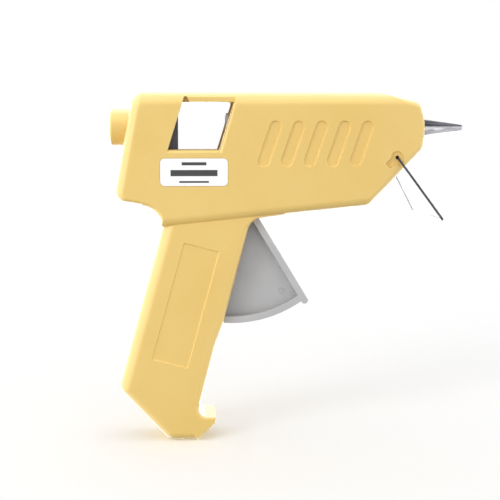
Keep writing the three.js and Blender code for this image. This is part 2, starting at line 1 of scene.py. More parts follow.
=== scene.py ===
import json
import math
import bmesh
import bpy
from mathutils import Matrix, Vector
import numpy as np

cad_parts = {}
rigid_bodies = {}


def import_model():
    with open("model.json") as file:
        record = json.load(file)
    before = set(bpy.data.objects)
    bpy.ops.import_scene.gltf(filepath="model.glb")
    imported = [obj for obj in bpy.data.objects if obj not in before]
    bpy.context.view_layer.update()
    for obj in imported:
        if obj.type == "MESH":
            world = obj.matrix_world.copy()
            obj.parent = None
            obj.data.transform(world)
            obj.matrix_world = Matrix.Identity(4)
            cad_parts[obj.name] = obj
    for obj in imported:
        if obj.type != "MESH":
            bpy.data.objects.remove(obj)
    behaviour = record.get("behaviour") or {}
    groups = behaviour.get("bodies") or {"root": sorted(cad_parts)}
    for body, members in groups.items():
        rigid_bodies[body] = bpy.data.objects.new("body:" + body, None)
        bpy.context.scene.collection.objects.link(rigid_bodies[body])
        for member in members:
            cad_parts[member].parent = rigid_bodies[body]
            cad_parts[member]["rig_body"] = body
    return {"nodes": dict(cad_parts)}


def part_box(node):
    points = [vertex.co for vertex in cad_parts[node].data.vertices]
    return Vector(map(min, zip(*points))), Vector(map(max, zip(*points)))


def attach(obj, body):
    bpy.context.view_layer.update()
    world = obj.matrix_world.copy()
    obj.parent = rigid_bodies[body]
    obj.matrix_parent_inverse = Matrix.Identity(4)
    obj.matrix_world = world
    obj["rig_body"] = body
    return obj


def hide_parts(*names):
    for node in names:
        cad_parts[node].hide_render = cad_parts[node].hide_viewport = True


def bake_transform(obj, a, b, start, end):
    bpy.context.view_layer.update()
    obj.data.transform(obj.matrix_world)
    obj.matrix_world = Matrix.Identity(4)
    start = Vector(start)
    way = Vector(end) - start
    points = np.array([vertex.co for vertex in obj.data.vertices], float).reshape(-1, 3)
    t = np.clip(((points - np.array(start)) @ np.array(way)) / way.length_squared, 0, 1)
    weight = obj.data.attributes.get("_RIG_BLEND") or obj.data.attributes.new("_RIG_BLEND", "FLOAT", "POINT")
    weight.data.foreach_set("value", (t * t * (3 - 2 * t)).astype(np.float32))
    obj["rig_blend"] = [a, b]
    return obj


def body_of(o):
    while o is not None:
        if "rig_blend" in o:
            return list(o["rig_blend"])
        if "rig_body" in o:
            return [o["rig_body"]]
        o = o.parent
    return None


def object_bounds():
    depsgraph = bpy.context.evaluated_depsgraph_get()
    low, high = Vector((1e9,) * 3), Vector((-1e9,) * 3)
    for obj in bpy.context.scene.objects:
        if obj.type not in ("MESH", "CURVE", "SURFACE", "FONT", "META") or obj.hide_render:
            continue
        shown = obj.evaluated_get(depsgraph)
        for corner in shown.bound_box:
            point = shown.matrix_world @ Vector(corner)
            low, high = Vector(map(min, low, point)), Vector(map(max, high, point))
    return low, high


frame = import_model()
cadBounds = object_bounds()

# Shapes are drawn in millimetres, with x = 0 at the collar's rear face, z = 0 on the glue axis
# and y = 0 between the halves. Each finished piece is then moved into the row frame in metres.
gunLength = 177
nozzleLow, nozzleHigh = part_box("nozzle")
origin = Vector((nozzleHigh.x - gunLength / 1000, 0, (nozzleLow.z + nozzleHigh.z) / 2))
toFrame = Matrix.Translation(origin) @ Matrix.Scale(0.001, 4)

# how near two points are joined, in mm: while shaping, in a finished piece, in a copy from the CAD
welds = dict(shaping=0.0004, finished=0.008, cadCopy=0.002)


def newPiece(name, mesh):
    bmesh.ops.remove_doubles(mesh, verts=mesh.verts, dist=welds["shaping"])
    bmesh.ops.recalc_face_normals(mesh, faces=mesh.faces)
    data = bpy.data.meshes.new(name)
    mesh.to_mesh(data)
    mesh.free()
    piece = bpy.data.objects.new(name, data)
    bpy.context.scene.collection.objects.link(piece)
    return piece


# the modifiers' result becomes the piece's own mesh
def settle(piece):
    bpy.context.view_layer.update()
    graph = bpy.context.evaluated_depsgraph_get()
    made = bpy.data.meshes.new_from_object(piece.evaluated_get(graph))
    piece.modifiers.clear()
    piece.data = made


# cuts the others from the piece, or joins them to it, and uses them up
def combine(piece, others, operation="DIFFERENCE"):
    for other in others:
        modifier = piece.modifiers.new("combine", "BOOLEAN")
        modifier.operation = operation
        modifier.solver = "MANIFOLD"
        modifier.object = other
    settle(piece)
    for other in others:
        bpy.data.objects.remove(other)
    return piece


def duplicate(piece):
    copy = bpy.data.objects.new(piece.name, piece.data.copy())
    bpy.context.scene.collection.objects.link(copy)
    return copy


# how far a fillet has drawn in at a depth below the side face
def drawIn(radius, depth):
    if depth >= radius:
        return 0
    return radius - math.sqrt(radius ** 2 - (radius - depth) ** 2)


# depths that part a fillet's quarter circle evenly
def arcLevels(radius, steps):
    return [radius * (1 - math.cos(math.pi / 2 * k / steps)) for k in range(steps + 1)]


# A closed outline from corners (x, z, radius). Every edge is moved in by its inset, and each
# corner is then rounded. The number of points doesn't depend on the insets.
def outlinePoints(corners, insets, steps=8, leastRadius=0.03):
    count = len(corners)
    spots = [Vector(corner[:2]) for corner in corners]
    area = sum(spots[i - 1].cross(spots[i]) for i in range(count))
    turn = 1 if area > 0 else -1
    lines = []
    for i in range(count):
        direction = (spots[(i + 1) % count] - spots[i]).normalized()
        inward = Vector((-direction.y, direction.x)) * turn
        lines.append((spots[i] + inward * insets[i], direction))
    points = []
    for i in range(count):
        (before, arriving), (after, leaving) = lines[i - 1], lines[i]
        bend = arriving.cross(leaving)
        if abs(bend) < 1e-5:  # a straight run
            points.append(after)
            continue
        corner = before + arriving * ((after - before).cross(leaving) / bend)
        radius = corners[i][2] if len(corners[i]) > 2 else 0
        if radius == 0:
            points.append(corner)
            continue
        change = (insets[i - 1] + insets[i]) / 2
        radius = max(radius - change if bend * turn > 0 else radius + change, leastRadius)
        half = (-arriving).angle(leaving) / 2
        reach = radius / math.tan(half)
        centre = corner + (leaving - arriving).normalized() * radius / math.sin(half)
        first = corner - arriving * reach - centre
        last = corner + leaving * reach - centre
        sweep = math.atan2(first.cross(last), first.dot(last))
        for k in range(steps + 1):
            angle = sweep * k / steps
            c, s = math.cos(angle), math.sin(angle)
            points.append(centre + Vector((first.x * c - first.y * s, first.x * s + first.y * c)))
    return points


# a closed skin through rings of equal length, [(y, points)], with a flat cap at each end
def loft(rings):
    mesh = bmesh.new()
    made = [[mesh.verts.new((x, y, z)) for x, z in points] for y, points in rings]
    count = len(made[0])
    for one, two in zip(made, made[1:]):
        for i in range(count):
            j = (i + 1) % count
            mesh.faces.new((one[i], one[j], two[j], two[i]))
    mesh.faces.new(made[0])
    mesh.faces.new(made[-1])
    return newPiece("loft", mesh)


# the outline as a solid across the gun, with a fillet of its own radius along each edge
def filletSlab(corners, radii, half, steps, arcSteps=10, leastGap=0.02):
    depths = sorted({depth for radius in radii for depth in arcLevels(radius, arcSteps)})
    depths = [depth for i, depth in enumerate(depths) if i == 0 or depth - depths[i - 1] > leastGap]
    rings = []
    for depth in depths:
        insets = [drawIn(radius, depth) for radius in radii]
        rings.append((depth - half, outlinePoints(corners, insets, steps)))
    back = [(-y, points) for y, points in reversed(rings)]
    return loft(rings + back)


def plainSlab(corners, low, high):
    points = outlinePoints(corners, [0] * len(corners))
    return loft([(low, points), (high, points)])


# a cutter for a shallow hollow in a side face: profile gives (depth, growth of the outline)
def pocketCutter(corners, side, face, profile, steps):
    rings = []
    for depth, grow in profile:
        points = outlinePoints(corners, [-grow] * len(corners), steps)
        rings.append((side * (face - depth), points))
    return loft(rings)


def block(lows, highs):
    mesh = bmesh.new()
    bmesh.ops.create_cube(mesh, size=1)
    for vertex in mesh.verts:
        vertex.co = Vector([low if c < 0 else high for c, low, high in zip(vertex.co, lows, highs)])
    return newPiece("block", mesh)


# A profile [(along, radius)] turned about an axis through centre. It starts and ends on the axis,
# or else its last point joins its first.
def turned(profile, centre=(0, 0, 0), axis="X", steps=64):
    mesh = bmesh.new()
    verts = [mesh.verts.new((along, 0, radius)) for along, radius in profile]
    edges = [mesh.edges.new((a, b)) for a, b in zip(verts, verts[1:])]
    if profile[0][1] > 0.001:
        edges.append(mesh.edges.new((verts[-1], verts[0])))
    bmesh.ops.spin(mesh, geom=verts + edges, cent=(0, 0, 0), axis=(1, 0, 0),
                   angle=2 * math.pi, steps=steps, use_merge=True)
    if axis == "Y":
        mesh.transform(Matrix.Rotation(math.pi / 2, 4, "Z"))
    mesh.transform(Matrix.Translation(centre))
    return newPiece("turned", mesh)


# a profile turned about a line across the gun through place (x, z)
def turnedAcross(profile, place, steps=48):
    return turned(profile, (place[0], 0, place[1]), "Y", steps)


def crossPin(place, radius, low, high, steps=48):
    return turnedAcross([(low, 0), (low, radius), (high, radius), (high, 0)], place, steps)


# a round cutter along the glue axis
def alongX(radius, low, high):
    return turned([(low, 0), (low, radius), (high, radius), (high, 0)], steps=96)


# a round tube along a line of points
def tubeAlong(points, radius, sides):
    spots = [Vector(point) for point in points]
    mesh = bmesh.new()
    normal = None
    rings = []
    for i, spot in enumerate(spots):
        ahead = spots[min(i + 1, len(spots) - 1)] - spots[max(i - 1, 0)]
        ahead.normalize()
        if normal is None:
            normal = ahead.orthogonal().normalized()
        normal = (normal - ahead * normal.dot(ahead)).normalized()
        other = ahead.cross(normal)
        ring = []
        for k in range(sides):
            angle = 2 * math.pi * k / sides
            offset = normal * math.cos(angle) + other * math.sin(angle)
            ring.append(mesh.verts.new(spot + offset * radius))
        rings.append(ring)
    for one, two in zip(rings, rings[1:]):
        for k in range(sides):
            mesh.faces.new((one[k], one[(k + 1) % sides], two[(k + 1) % sides], two[k]))
    mesh.faces.new(rings[0])
    mesh.faces.new(rings[-1])
    return newPiece("tube", mesh)


# straight runs joined by bends that start the given reach before each corner
def bentLine(corners, reach, steps):
    spots = [Vector(corner) for corner in corners]
    points = [spots[0]]
    for before, here, after in zip(spots, spots[1:], spots[2:]):
        start = here + (before - here).normalized() * reach
        end = here + (after - here).normalized() * reach
        for k in range(steps + 1):
            t = k / steps
            points.append(start * (1 - t) ** 2 + here * 2 * t * (1 - t) + end * t ** 2)
    points.append(spots[-1])
    return points


# the point at a reach from centre, in a direction given in degrees from straight down
def around(centre, degrees, reach):
    angle = math.radians(degrees)
    return (centre[0] + reach * math.sin(angle), centre[1] - reach * math.cos(angle))


# a socket in a node tree, so that maths on sockets is written as plain maths
class Shade:
    def __init__(self, tree, socket=None):
        self.tree = tree
        self.socket = socket

    # any node, from its type, its settings, and the values or links of its sockets
    def make(self, kind, settings, sockets, output=0):
        node = self.tree.nodes.new(kind)
        for name, value in settings.items():
            setattr(node, name, value)
        for name, value in sockets.items():
            if isinstance(value, Shade):
                self.tree.links.new(value.socket, node.inputs[name])
            else:
                node.inputs[name].default_value = value
        return Shade(self.tree, node.outputs[output])

    def math(self, operation, first, second=0):
        return self.make("ShaderNodeMath", {"operation": operation}, {0: first, 1: second})

    def __add__(self, other):
        return self.math("ADD", self, other)

    def __radd__(self, other):
        return self.math("ADD", other, self)

    def __sub__(self, other):
        return self.math("SUBTRACT", self, other)

    def __rsub__(self, other):
        return self.math("SUBTRACT", other, self)

    def __mul__(self, other):
        return self.math("MULTIPLY", self, other)

    def __rmul__(self, other):
        return self.math("MULTIPLY", other, self)

    # from low..high to first..last, held at the ends
    def span(self, low, high, first, last):
        return self.make("ShaderNodeMapRange", {"clamp": True}, {
            "Value": self, "From Min": low, "From Max": high, "To Min": first, "To Max": last})

    def blend(self, first, second):
        return self.make("ShaderNodeMix", {"data_type": "RGBA"}, {0: self, 6: first, 7: second}, 2)


def noise(shade, place, scale, detail=3, stretch=(1, 1, 1)):
    moved = shade.make("ShaderNodeMapping", {}, {"Vector": place, "Scale": stretch})
    return shade.make("ShaderNodeTexNoise", {}, {"Vector": moved, "Scale": scale, "Detail": detail})


# a colour in screen tones, 0 to 255, as the linear colour that nodes take
def linear(red, green, blue):
    def channel(value):
        value /= 255
        return value / 12.92 if value <= 0.04045 else ((value + 0.055) / 1.055) ** 2.4
    return (channel(red), channel(green), channel(blue), 1)


# Each surface has two tones that drift over centimetres, a fine grain in its relief, and a
# roughness that wanders between two values. Scales are per metre, relief is in metres.
surfaces = {
    "yellow_plastic": dict(light=(228, 194, 108), dark=(224, 188, 98), drift=28, grain=1500,
                           relief=0.00002, rough=(0.42, 0.54), coat=0.8),
    "grey_plastic": dict(light=(186, 186, 187), dark=(178, 178, 179), drift=45, grain=1400,
                         relief=0.000012, rough=(0.42, 0.55)),
    "dark_plastic": dict(light=(88, 88, 90), dark=(72, 72, 74), drift=60, grain=1200,
                         relief=0.00002, rough=(0.50, 0.62)),
    "white_nylon": dict(light=(236, 234, 226), dark=(224, 221, 210), drift=70, grain=1300,
                        relief=0.00002, rough=(0.38, 0.5)),
    "silicone": dict(light=(206, 203, 194), dark=(190, 187, 178), drift=90, grain=1600,
                     relief=0.00003, rough=(0.52, 0.66)),
    "lead_sleeve": dict(light=(228, 222, 206), dark=(206, 200, 184), drift=160, grain=2600,
                        relief=0.00004, rough=(0.62, 0.8), stretch=(1, 1, 3)),
    "insulating_film": dict(light=(186, 122, 46), dark=(168, 104, 36), drift=80, grain=900,
                            relief=0.00001, rough=(0.24, 0.36)),
    "heater_ceramic": dict(light=(112, 106, 100), dark=(92, 87, 82), drift=160, grain=2200,
                           relief=0.00004, rough=(0.75, 0.9)),
    "electrode_brass": dict(light=(206, 176, 104), dark=(188, 154, 84), drift=90, grain=2400,
                            relief=0.000012, rough=(0.26, 0.42), metal=1, stretch=(0.2, 1, 1)),
    "pin_steel": dict(light=(176, 177, 180), dark=(160, 161, 164), drift=110, grain=2600,
                      relief=0.00001, rough=(0.2, 0.34), metal=1, stretch=(1, 0.15, 1)),
    "screw_steel": dict(light=(168, 169, 172), dark=(140, 141, 145), drift=200, grain=2400,
                        relief=0.00002, rough=(0.28, 0.42), metal=1),
    "spring_steel": dict(light=(150, 152, 156), dark=(122, 124, 129), drift=180, grain=2400,
                         relief=0.00002, rough=(0.28, 0.4), metal=1),
    "stand_wire": dict(light=(178, 178, 180), dark=(156, 156, 159), drift=150, grain=3000,
                       relief=0.00001, rough=(0.22, 0.34), metal=1, stretch=(1, 1, 0.2),
                       # the near leg is painted dark: a painted reflection of dark surroundings
                       paintedReflection=dict(axis=1, start=-0.012, end=0.012, dark=(30, 30, 32), light=(44, 44, 46))),
    "cast_aluminium": dict(light=(178, 180, 183), dark=(150, 152, 156), drift=120, grain=1400,
                           relief=0.00008, rough=(0.42, 0.62), metal=1),
    "nozzle_aluminium": dict(light=(204, 204, 207), dark=(140, 140, 144), drift=700, grain=2600,
                             relief=0.00003, rough=(0.3, 0.46), metal=1, stretch=(0.12, 1, 1),
                             # the upper half is painted dark: a painted reflection of a dark ceiling
                             paintedReflection=dict(axis=2, start=0.1562, end=0.1552, dark=(16, 16, 18),
                                       light=(58, 58, 62))),
}
# how far each pattern counts in tone, roughness and relief, and the span of noise that is used
mixture = dict(toneGrain=0.25, toneSpan=(0.36, 0.64), roughDrift=0.4, roughSpan=(0.3, 0.7),
               reliefDrift=0.4, bump=0.6, coatRoughness=0.36, reflectionToneSpan=(0.35, 0.65))


# a new material, its maths, its shader, and the place on the piece
def newMaterial(name):
    made = bpy.data.materials.new(name)
    made.use_nodes = True
    shade = Shade(made.node_tree)
    place = shade.make("ShaderNodeTexCoord", {}, {}, 3)
    return made, shade, made.node_tree.nodes["Principled BSDF"], place


def joinShader(shader, colour, rough, relief):
    for name, value in (("Base Color", colour), ("Roughness", rough), ("Normal", relief)):
        value.tree.links.new(value.socket, shader.inputs[name])


def surface(name):
    values = surfaces[name]
    made, shade, shader, place = newMaterial(name)
    stretch = values.get("stretch", (1, 1, 1))
    drift = noise(shade, place, values["drift"], 3, stretch)
    grain = noise(shade, place, values["grain"], 2, stretch)
    tone = drift * (1 - mixture["toneGrain"]) + grain * mixture["toneGrain"]
    dark, light = linear(*values["dark"]), linear(*values["light"])
    colour = tone.span(*mixture["toneSpan"], 0, 1).blend(dark, light)
    if "paintedReflection" in values:
        # one side is painted darker, a painted reflection of dark surroundings, along an axis, from start to
        # end in metres
        paintedReflection = values["paintedReflection"]
        start, end = paintedReflection["start"], paintedReflection["end"]
        along = shade.make("ShaderNodeSeparateXYZ", {}, {0: place}, paintedReflection["axis"])
        dark, light = linear(*paintedReflection["dark"]), linear(*paintedReflection["light"])
        paintedReflectionTone = drift.span(*mixture["reflectionToneSpan"], 0, 1).blend(dark, light)
        edge = along + (drift - 0.5) * abs(end - start)
        colour = edge.span(start, end, 0, 1).blend(paintedReflectionTone, colour)
    rough = drift * mixture["roughDrift"] + grain * (1 - mixture["roughDrift"])
    relief = shade.make("ShaderNodeBump", {}, {
        "Strength": mixture["bump"], "Distance": values["relief"],
        "Height": grain + drift * mixture["reliefDrift"]})
    joinShader(shader, colour, rough.span(*mixture["roughSpan"], *values["rough"]), relief)
    shader.inputs["Metallic"].default_value = values.get("metal", 0)
    shader.inputs["Coat Weight"].default_value = values.get("coat", 0)
    shader.inputs["Coat Roughness"].default_value = mixture["coatRoughness"]
    return made


materials = {name: surface(name) for name in surfaces}


# The finished piece: moved into the row frame, shaded, and handed to its CAD body. Its finish
# names the material here.
def finishPiece(piece, name, rider, finish, nodes, crease=32):
    mesh = bmesh.new()
    mesh.from_mesh(piece.data)
    bmesh.ops.remove_doubles(mesh, verts=mesh.verts, dist=welds["finished"])
    bmesh.ops.dissolve_degenerate(mesh, edges=mesh.edges, dist=welds["finished"])
    mesh.transform(toFrame)
    bmesh.ops.recalc_face_normals(mesh, faces=mesh.faces)
    mesh.to_mesh(piece.data)
    mesh.free()
    piece.name = name
    piece.data.name = name
    piece.data.materials.clear()
    piece.data.materials.append(materials[finish])
    for polygon in piece.data.polygons:
        polygon.material_index = 0
    piece.data.shade_smooth()
    piece.data.set_sharp_from_angle(angle=math.radians(crease))
    modifier = piece.modifiers.new("normals", "WEIGHTED_NORMAL")
    modifier.keep_sharp = True
    if rider:
        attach(piece, rider)
    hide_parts(*nodes)
    return piece


# Housing. The two halves are one closed shape, hollowed, cut and then parted at y = 0.
body = dict(half=17, noseHalf=12.5, taperStart=132.5, taperEnd=158, taperBend=3, wall=2.2, edgeRoom=2,
            rearStart=(10.2, 10.1), rearSlope=0.189, bellyStart=(125.6, -38.6), bellySlope=0.1,
            partingGap=0.1, nozzleHole=4.9)
beyond = dict(low=(-10, -40, -170), high=(180, 40, 30))  # a box with room for the whole gun
past = body["half"] + 1  # a cut or post that ends here comes out through the side


def rearX(z):
    x, start = body["rearStart"]
    return x + (z - start) * body["rearSlope"]


def bellyZ(x):
    start, z = body["bellyStart"]
    return z - (start - x) * body["bellySlope"]


# corners (x, z, radius), and the fillet of the edge that leaves each
bodyCorners = [
    (rearX(17.1), 17.1, 7), (131, 17.1, 8), (152.6, 12.4, 4), (156.2, 0.9, 26), (154, -11, 5),
    (126.7, bellyZ(126.7), 5), (25.3, bellyZ(25.3)), (15.9, -37.4), (rearX(-34.9), -34.9, 4.6),
]
bodyFillets = [7.5, 3.6, 2.2, 2.2, 3.4, 5, 0.4, 2.2, 5.5]
heel = dict(centre=(14.7, -48.5), radius=10.6, fillet=2.2, innerFillet=0.5)

handleHalf = 14
handleCorners = [
    (25.3, -48.7), (3.1, -128.7, 5.4), (28.2, -155.3, 7.5), (42.4, -155.3), (41.8, -143.6),
    (51.1, -108, 6), (55.6, -96, 6), (69.1, -44.9, 9), (86, -42.6), (80, -32), (30, -32),
]
handleFillets = [6.5, 4.5, 4, 3, 3, 3, 3, 0.5, 0.5, 0.5, 6.5]
toeCorners = [
    (34, -147.5), (42.4, -155.3), (51.2, -147, 2), (51.6, -144.2), (41.95, -144.4, 4.4), (43.6, -138),
    (37, -139),
]
toeFillets = [1.2, 1.2, 1, 1.2, 3, 0.5, 0.5]

# the trigger's sizes stand here, because the housing leaves room for it
trigger = dict(pivot=(60.3, -36.7), half=7.5, webHalf=1.5, edge=0.45, lean=31.2, barOuter=6.86,
               barInner=3.45, barTip=63, rimRadius=60.9, rimThickness=3.4, rimSweep=(-6, 36.6),
               hub=4.6, bore=2.3, driveAngle=198, driveReach=19, driveBore=2.1, armHalf=1.6,
               roundMark=(85.3, -82.1), rimMark=(77.4, -95.4))
triggerGap = dict(slotHalf=8.4, bar=0.7, rim=0.9, sweep=(38, -45))
pivot = trigger["pivot"]


# a point on the front bar: reach out from the pivot across it, and a run along it
def barPoint(reach, run):
    lean = math.radians(trigger["lean"])
    return (pivot[0] + math.cos(lean) * reach + math.sin(lean) * run,
            pivot[1] + math.sin(lean) * reach - math.cos(lean) * run)


# the sides draw in towards the nose, over a soft bend
def taperNose(piece, half, tip):
    start, bend = body["taperStart"], body["taperBend"]
    mesh = bmesh.new()
    mesh.from_mesh(piece.data)
    for step in range(-2, 3):
        bmesh.ops.bisect_plane(mesh, geom=mesh.verts[:] + mesh.edges[:] + mesh.faces[:],
                               plane_co=(start + bend * step / 2, 0, 0), plane_no=(1, 0, 0))
    slope = (half - tip) / (body["taperEnd"] - start)
    for vertex in mesh.verts:
        along = vertex.co.x - start
        drop = slope * (along if along > bend else max(along + bend, 0) ** 2 / (4 * bend))
        vertex.co.y *= (half - drop) / half
    mesh.to_mesh(piece.data)
    mesh.free()
    return piece


# the round hollow over the hand, with its own fillet at both sides
def heelCutter(half, grow, fillet):
    radius = heel["radius"] + grow
    levels = arcLevels(fillet, 10)
    profile = [(-half - 2, 0), (-half - 2, radius + fillet)]
    profile += [(level - half, radius + drawIn(fillet, level)) for level in levels]
    profile += [(half - level, radius + drawIn(fillet, level)) for level in reversed(levels)]
    profile += [(half + 2, radius + fillet), (half + 2, 0)]
    return turnedAcross(profile, heel["centre"], 96)


def triggerRoom():
    outer = trigger["barOuter"] + triggerGap["bar"]
    corners = [pivot, barPoint(outer, -2), barPoint(outer, trigger["barTip"])]
    for angle in range(*triggerGap["sweep"], -2):
        corners.append(around(pivot, angle, trigger["rimRadius"] + triggerGap["rim"]))
    return plainSlab(corners, -triggerGap["slotHalf"], triggerGap["slotHalf"])


inlet = dict(point=(16, -142.4), angle=47, bore=5, rim=6.3, proud=0.9)


# a turned shape along the cord's way in, from its profile [(inwards, radius)]
def alongInlet(profile):
    angle = math.radians(inlet["angle"])
    inwards = Vector((math.sin(angle), 0, math.cos(angle)))
    piece = turned(profile)
    turn = Vector((1, 0, 0)).rotation_difference(inwards).to_matrix().to_4x4()
    place = Matrix.Translation((inlet["point"][0], 0, inlet["point"][1]))
    piece.data.transform(place @ turn)
    return piece


window = dict(low=-12.85, high=15.2, rear=27.5, front=54.95, slope=0.309, radius=0.8, flare=2,
              slight=0.3, depth=6)
windowShift = window["slope"] * (window["high"] - window["low"])
windowCorners = [
    (window["rear"], window["low"], window["radius"]),
    (window["front"], window["low"], window["radius"]),
    (window["front"] + windowShift, window["high"], window["radius"]),
    (window["rear"] + windowShift, window["high"], window["radius"]),
]
railCorners = [(36.2, 18), (38.8, 12.1), (66, 12.1), (66, 18)]  # the rail over the window
rail = dict(half=15.2, edge=0.5, rearLow=(22, -11, 12.1), rearHigh=(40, 11, 18))

slots = dict(count=5, pitch=11.3, first=(75.1, -16.3), rise=(5.7, 16.4), radius=2.85, depth=1.1)
panelCorners = [(36.1, -56.7, 0.5), (53.2, -61.2, 0.5), (37.4, -119, 0.5), (19.9, -114.2, 0.5)]
panelDepth = 0.7
label = dict(rear=24.4, front=57.7, top=-14.9, low=-28.7, radius=2.4, back=-16.75, face=-17.1,
             gap=0.2, bars=[(4.1, 6, 0.75), (-0.4, 11.4, 1.5), (-4.7, 7.2, 0.45)], blur=0.06)
labelCorners = [(label[x], label[z], label["radius"])
                for x, z in (("rear", "top"), ("front", "top"), ("front", "low"), ("rear", "low"))]
labelHollow = [(0.45, 0), (0.12, 0), (0.03, 0.06), (0, 0.14), (-1, 0.16)]
screwPlaces = [(13, -28), (72, 12), (92, -36.4), (127.5, 11.6), (124, -32.6), (29, -97), (38.5, -148.4)]
screw = dict(tip=-8.4, shaft=1.3, seat=8.2, head=2.1, top=9.8, crossHalf=(1.25, 0.28), crossFrom=8.7,
             turnEach=40, hole=1.7, holeEnds=(-9.4, 9), headHole=2.4, headHoleFrom=7.6)
collar = dict(bore=6.1, outer=9.2, length=12.9, flange=11, end=14.2, seat=9.35, seatEnd=18)
stand = dict(pivot=(141.3, -14.8), foot=(159.9, -44.3), inner=11.6, shoulder=15.3, halfWidth=33.4,
             bend=1.6, wire=0.6, hole=0.95, holeFrom=10.8)
# the stand's pocket: a round seat, and two arms that let the wire swing
standPocket = dict(seat=[(14.3, 0), (14.3, 2.9), (15.4, 3.05), (15.9, 3.5), (18, 3.7), (18, 0)],
                   arms=((-4.6, -4), (3.4, -5)), armHalf=1.5,
                   armProfile=[(2.5, 0), (1.6, 0.1), (1.2, 0.35), (-1, 1)],
                   backLow=(132, -23), backHigh=(147, -8.5), backFrom=12.4)
# what fills the room inside: saddles (place, bore) for the hot end, and round posts
saddles = dict(places=((66, 8.5), (85.2, 7.8), (134, 7.8)), width=2, low=-13, high=20)
posts = dict(screw=3.1, pivot=4.4, pivotFrom=8.1, stand=3.4, standFrom=10.4)


def slotCorners(index):
    along = Vector(slots["rise"]).normalized()
    across = Vector((-along.y, along.x))
    radius = slots["radius"]
    low = Vector(slots["first"]) + Vector((index * slots["pitch"], 0))
    high = low + Vector(slots["rise"])
    ends = [low - along * radius - across * radius, high + along * radius - across * radius,
            high + along * radius + across * radius, low - along * radius + across * radius]
    return [(end.x, end.y, radius - 0.01) for end in ends]  # a trace of straight end is left


# floor with a soft inner corner, a leaning wall and a rounded rim
def recessProfile(depth):
    return [(depth, -0.32), (depth - 0.03, -0.2), (depth - 0.12, -0.1), (depth - 0.25, -0.04),
            (0.22, 0.1), (0.1, 0.17), (0.03, 0.27), (0, 0.4), (-1, 0.45)]


# a straight arm from centre, with its far corners rounded
def armCorners(centre, reach, width):
    length = math.hypot(*reach)
    across = (-reach[1] / length * width, reach[0] / length * width)
    x, z = centre
    return [(x + across[0], z + across[1]), (x + across[0] + reach[0], z + across[1] + reach[1], 0.4),
            (x - across[0] + reach[0], z - across[1] + reach[1], 0.4), (x - across[0], z - across[1])]


def outerHousing():
    side = filletSlab(bodyCorners, bodyFillets, body["half"], 12)
    shape = taperNose(side, body["half"], body["noseHalf"])
    combine(shape, [heelCutter(body["half"], 0, heel["fillet"])])
    handle = filletSlab(handleCorners, handleFillets, handleHalf, 12)
    toe = filletSlab(toeCorners, toeFillets, handleHalf, 10)
    proud, radius = inlet["proud"], inlet["rim"]
    rim = alongInlet([(-proud, 0), (-proud, radius - 0.4), (-proud + 0.12, radius - 0.12),
                      (-proud + 0.4, radius), (3, radius), (3, 0)])
    return combine(shape, [handle, toe, rim], "UNION")


# the room inside an outline, drawn in further near the sides to clear the fillets
def hollow(corners, half):
    wall, room = body["wall"], body["edgeRoom"]
    rings = []
    for y, inset in ((-half, wall + room), (room - half, wall), (half - room, wall), (half, wall + room)):
        rings.append((y, outlinePoints(corners, [inset] * len(corners))))
    return loft(rings)


def bothSides(near, far):
    return ((-far, -near), (near, far))


def innerRoom():
    wall = body["wall"]
    half = body["half"] - wall
    room = taperNose(hollow(bodyCorners, half), half, body["noseHalf"] - wall)
    combine(room, [heelCutter(half, wall, heel["innerFillet"])])
    combine(room, [hollow(handleCorners, handleHalf - wall)], "UNION")
    kept = []
    for x, bore in saddles["places"]:
        plate = block((x, -past, saddles["low"]), (x + saddles["width"], past, saddles["high"]))
        kept.append(combine(plate, [alongX(bore, x - 1, x + saddles["width"] + 1)]))
    kept.append(combine(plainSlab(railCorners, -rail["half"], rail["half"]),
                        [block(rail["rearLow"], rail["rearHigh"])], "UNION"))
    (rear, low), (front, high) = standPocket["backLow"], standPocket["backHigh"]
    for near, far in bothSides(standPocket["backFrom"], past):
        kept.append(block((rear, near, low), (front, far, high)))
    kept += [crossPin(place, posts["screw"], -past, past, 32) for place in screwPlaces]
    kept += [crossPin(pivot, posts["pivot"], *ends) for ends in bothSides(posts["pivotFrom"], past)]
    kept += [crossPin(stand["pivot"], posts["stand"], *ends) for ends in bothSides(posts["standFrom"], past)]
    return combine(room, kept)


# the window's lower and front edges flare outwards, the others are barely broken
def windowCutter(side):
    flare, slight = window["flare"], window["slight"]
    rings = []
    for depth in [window["depth"]] + arcLevels(flare, 10)[::-1] + [-1]:
        wide = flare - drawIn(flare, min(max(depth, 0), flare))
        narrow = slight - drawIn(slight, min(max(depth, 0), slight))
        points = outlinePoints(windowCorners, [wide, wide, narrow, narrow], 10)
        rings.append((side * (body["half"] - depth), points))
    return combine(loft(rings), [filletSlab(railCorners, [rail["edge"]] * 4, rail["half"], 6, 6)])


def faceCutters(side):
    half, place = body["half"], stand["pivot"]
    cutters = [windowCutter(side)]
    for index in range(slots["count"]):
        cutters.append(pocketCutter(slotCorners(index), side, half, recessProfile(slots["depth"]), 16))
    cutters.append(pocketCutter(panelCorners, side, handleHalf, recessProfile(panelDepth), 6))
    cutters.append(turnedAcross([(side * y, radius) for y, radius in standPocket["seat"]], place))
    for reach in standPocket["arms"]:
        corners = armCorners(place, reach, standPocket["armHalf"])
        cutters.append(pocketCutter(corners, side, half, standPocket["armProfile"], 5))
    low, high = sorted((side * stand["holeFrom"], side * past))
    cutters.append(crossPin(place, stand["hole"], low, high, 24))
    return cutters


